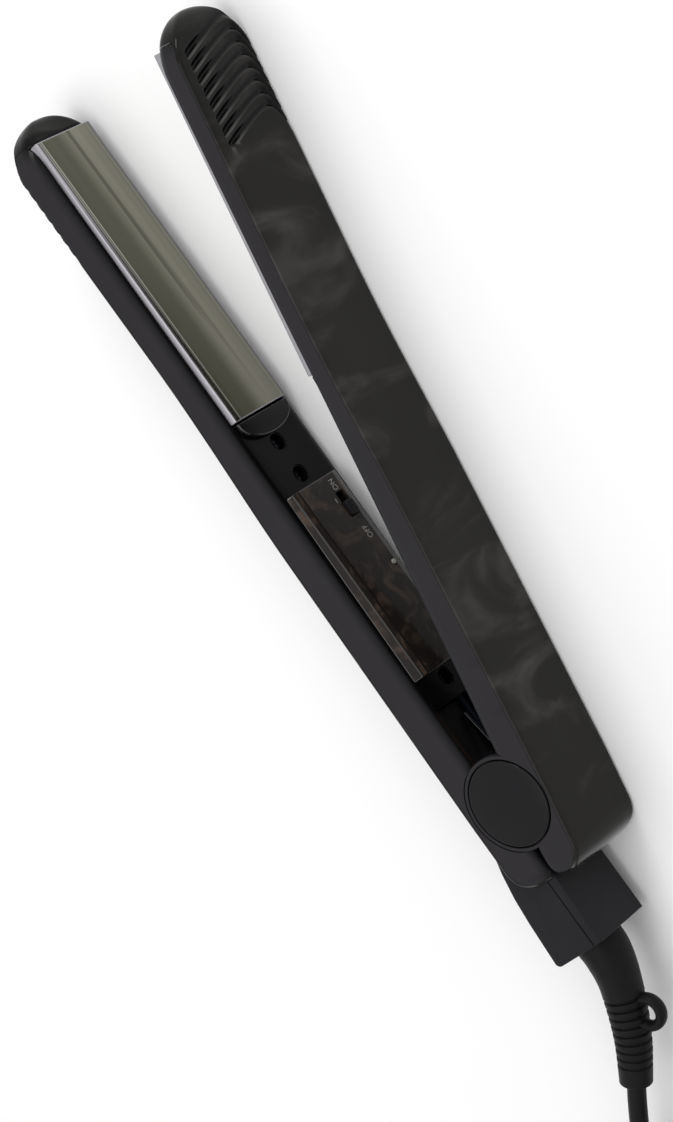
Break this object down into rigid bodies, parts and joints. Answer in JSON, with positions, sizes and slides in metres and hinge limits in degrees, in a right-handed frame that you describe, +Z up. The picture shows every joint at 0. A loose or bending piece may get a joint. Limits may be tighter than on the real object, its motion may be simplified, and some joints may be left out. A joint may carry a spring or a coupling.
{
  "type": "flat iron (hair straightener)",
  "caption": "Hair straightening iron with smooth titanium plates, open on its side, with its mains cord in a tied coil.",
  "frame": {"origin": "on the hinge axis, in the plane of the flat side that the iron lies on", "axes": "+X along arm A from the hinge to the tip, +Z up along the hinge axis, +Y from arm B toward arm A"},
  "size_m": [0.4477, 0.1534, 0.0313],
  "materials": {
    "grey_plastic": "fine satin grain",
    "smoked_gloss": "glossy brown-black lacquer with smoky clouds",
    "titanium_plate": "smooth olive-grey titanium coating, mirror-like",
    "spring_steel": "plain bright steel",
    "blued_steel": "black-oxide steel",
    "black_plastic": "matt moulded black",
    "black_gloss": "polished black",
    "ceramic": "unglazed ceramic",
    "board": "paper-phenolic board",
    "lens": "clear milky lens",
    "fuse_aluminium": "plain can",
    "soft_rubber": "matt flexible black",
    "wire_brown": "dark brown insulation",
    "wire_blue": "dark blue insulation",
    "blade_brass": "plain"
  },
  "bodies": {
    "arm_a": {"housing_a": "grey_plastic", "cover_a": "smoked_gloss", "plate_a": "titanium_plate", "heater_a": "ceramic", "heater_clamp_a": "spring_steel", "plate_cap_a": "black_plastic", "screw_a_1": "blued_steel", "screw_a_2": "blued_steel", "screw_a_3": "blued_steel", "control_panel": "black_gloss", "circuit_board": "board", "slide_switch": "spring_steel", "power_indicator": "lens", "thermal_fuse": "fuse_aluminium", "tail_block": "black_plastic", "tail_lid": "black_plastic", "hinge_pin": "spring_steel", "hinge_cap_near": "black_plastic", "hinge_cap_far": "black_plastic", "torsion_spring": "blued_steel", "strain_relief": "soft_rubber", "cord_clamp": "black_plastic", "live_wire": "wire_brown", "neutral_wire": "wire_blue", "cord_lead": "soft_rubber", "cord_coil": "soft_rubber", "cord_tail": "soft_rubber", "coil_tie": "black_plastic", "plug_body": "soft_rubber", "plug_blade_1": "blade_brass", "plug_blade_2": "blade_brass"},
    "arm_b": {"housing_b": "grey_plastic", "cover_b": "smoked_gloss", "plate_b": "titanium_plate", "heater_b": "ceramic", "heater_clamp_b": "spring_steel", "plate_cap_b": "black_plastic", "screw_b_1": "blued_steel", "screw_b_2": "blued_steel", "screw_b_3": "blued_steel"},
    "switch_knob": {"switch_knob": "black_plastic"}
  },
  "joints": [
    {"name": "arm_hinge", "type": "hinge", "parent": "arm_a", "child": "arm_b", "pos_m": [0, 0, 0.0155], "axis": [0, 0, 1], "range_deg": [0, 13.3], "stiffness_Nm_per_rad": 1.5, "springref_deg": -8.59, "deforming": ["torsion_spring"]},
    {"name": "power_switch", "type": "slide", "parent": "arm_a", "child": "switch_knob", "axis": [1, 0, 0], "range_m": [0, 0.003]}
  ]
}
